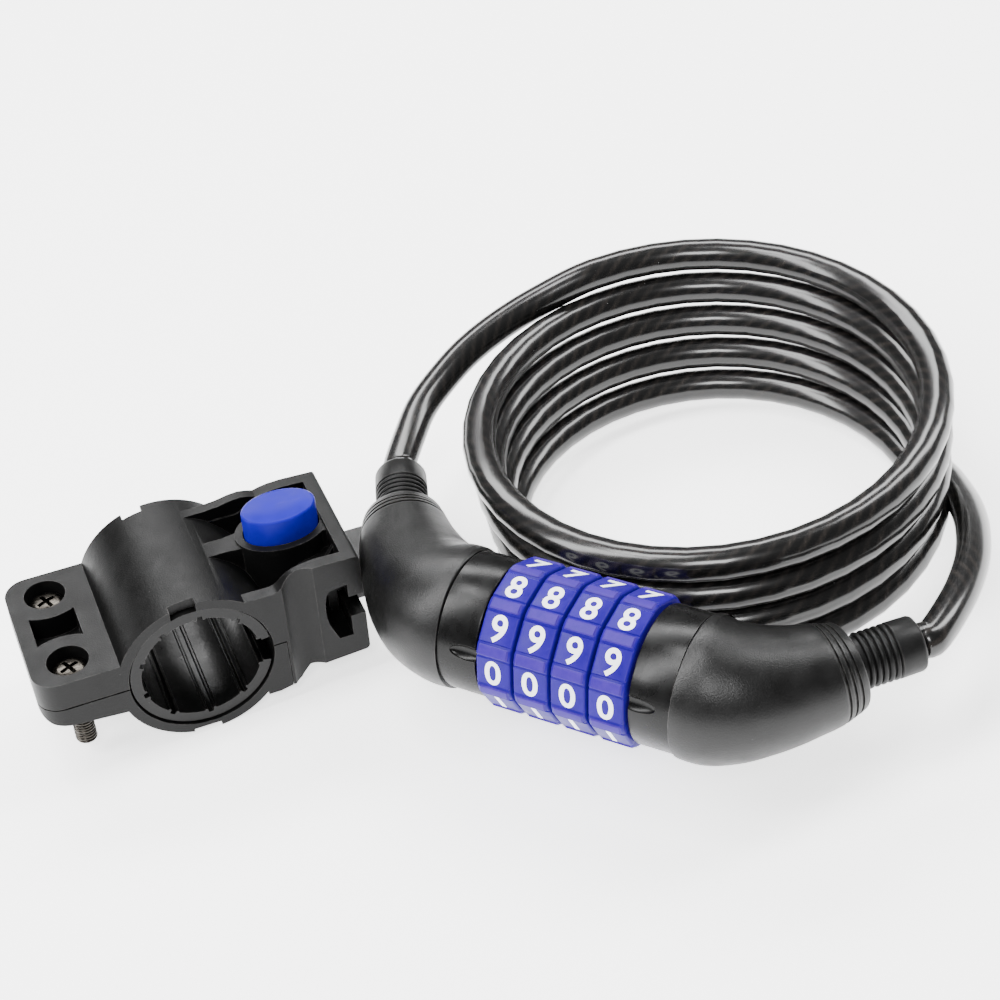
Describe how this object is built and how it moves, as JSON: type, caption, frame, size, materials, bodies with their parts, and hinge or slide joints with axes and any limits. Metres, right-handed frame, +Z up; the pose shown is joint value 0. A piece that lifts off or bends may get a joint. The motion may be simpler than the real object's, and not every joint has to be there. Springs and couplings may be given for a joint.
{
  "type": "bicycle coil cable combination lock",
  "caption": "Coiled cable combination lock with numbered dials between two bent end covers, held by its push-button tube clamp bracket",
  "frame": {"origin": "on the resting surface, under the middle of the lock and bracket together, the cable left out", "axes": "+X across the bracket from its ear to its block, +Y along the clamp's bore away from its front face, +Z up"},
  "size_m": [0.2281, 0.1567, 0.0435],
  "materials": {
    "black_nylon": "satin black moulded nylon with a fine texture",
    "gloss_black": "smooth glossy black",
    "dial_blue": "moulded royal blue with white digits",
    "button_blue": "glossy saturated blue",
    "liner_rubber": "matt black",
    "cable_vinyl": "smoke-black see-through vinyl over twisted steel strands",
    "oxide_steel": "dark oxide steel, worn bright at the edges",
    "zinc": "plain zinc-plated steel"
  },
  "bodies": {
    "lock": {"core_tube": "zinc", "core_nut": "zinc", "reset_spring": "oxide_steel", "collar_left": "gloss_black", "collar_right": "gloss_black", "elbow_left": "black_nylon", "mounting_lug": "black_nylon", "boot_left": "black_nylon", "ferrule_left": "zinc", "cable_lead_left": "cable_vinyl", "cable_coil": "cable_vinyl", "cable_lead_right": "cable_vinyl"},
    "dial_1_set": {"dial_1": "dial_blue", "code_wheel_1": "zinc"},
    "dial_2_set": {"dial_2": "dial_blue", "code_wheel_2": "zinc"},
    "dial_3_set": {"dial_3": "dial_blue", "code_wheel_3": "zinc"},
    "dial_4_set": {"dial_4": "dial_blue", "code_wheel_4": "zinc"},
    "plug": {"elbow_right": "black_nylon", "locking_bolt": "zinc", "bolt_pin": "oxide_steel", "boot_right": "black_nylon", "ferrule_right": "zinc"},
    "bracket": {"clamp_upper": "black_nylon", "clamp_lower": "black_nylon", "clamp_liner": "liner_rubber", "clamp_screw_front": "oxide_steel", "clamp_screw_rear": "oxide_steel", "clamp_nut_front": "zinc", "clamp_nut_rear": "zinc"},
    "release": {"release_button": "button_blue", "release_latch": "zinc", "button_spring": "oxide_steel"}
  },
  "joints": [
    {"name": "dial_1_turn", "type": "hinge", "parent": "lock", "child": "dial_1_set", "pos_m": [0.02466, -0.0195, 0.0264], "axis": [0.6468, -0.7627, 0], "continuous": true},
    {"name": "dial_2_turn", "type": "hinge", "parent": "lock", "child": "dial_2_set", "pos_m": [0.02466, -0.0195, 0.0264], "axis": [0.6468, -0.7627, 0], "continuous": true},
    {"name": "dial_3_turn", "type": "hinge", "parent": "lock", "child": "dial_3_set", "pos_m": [0.02466, -0.0195, 0.0264], "axis": [0.6468, -0.7627, 0], "continuous": true},
    {"name": "dial_4_turn", "type": "hinge", "parent": "lock", "child": "dial_4_set", "pos_m": [0.02466, -0.0195, 0.0264], "axis": [0.6468, -0.7627, 0], "continuous": true},
    {"name": "plug_pull", "type": "slide", "parent": "lock", "child": "plug", "axis": [0.6468, -0.7627, 0], "range_m": [0, 0.052], "deforming": ["cable_lead_right"]},
    {"name": "bracket_slide", "type": "slide", "parent": "lock", "child": "bracket", "axis": [0, 1, 0], "range_m": [0, 0.04]},
    {"name": "button_press", "type": "slide", "parent": "bracket", "child": "release", "axis": [-0.068, 0, -0.9977], "range_m": [0, 0.0025], "stiffness_N_per_m": 600, "springref_m": -0.002, "deforming": ["button_spring"]}
  ]
}
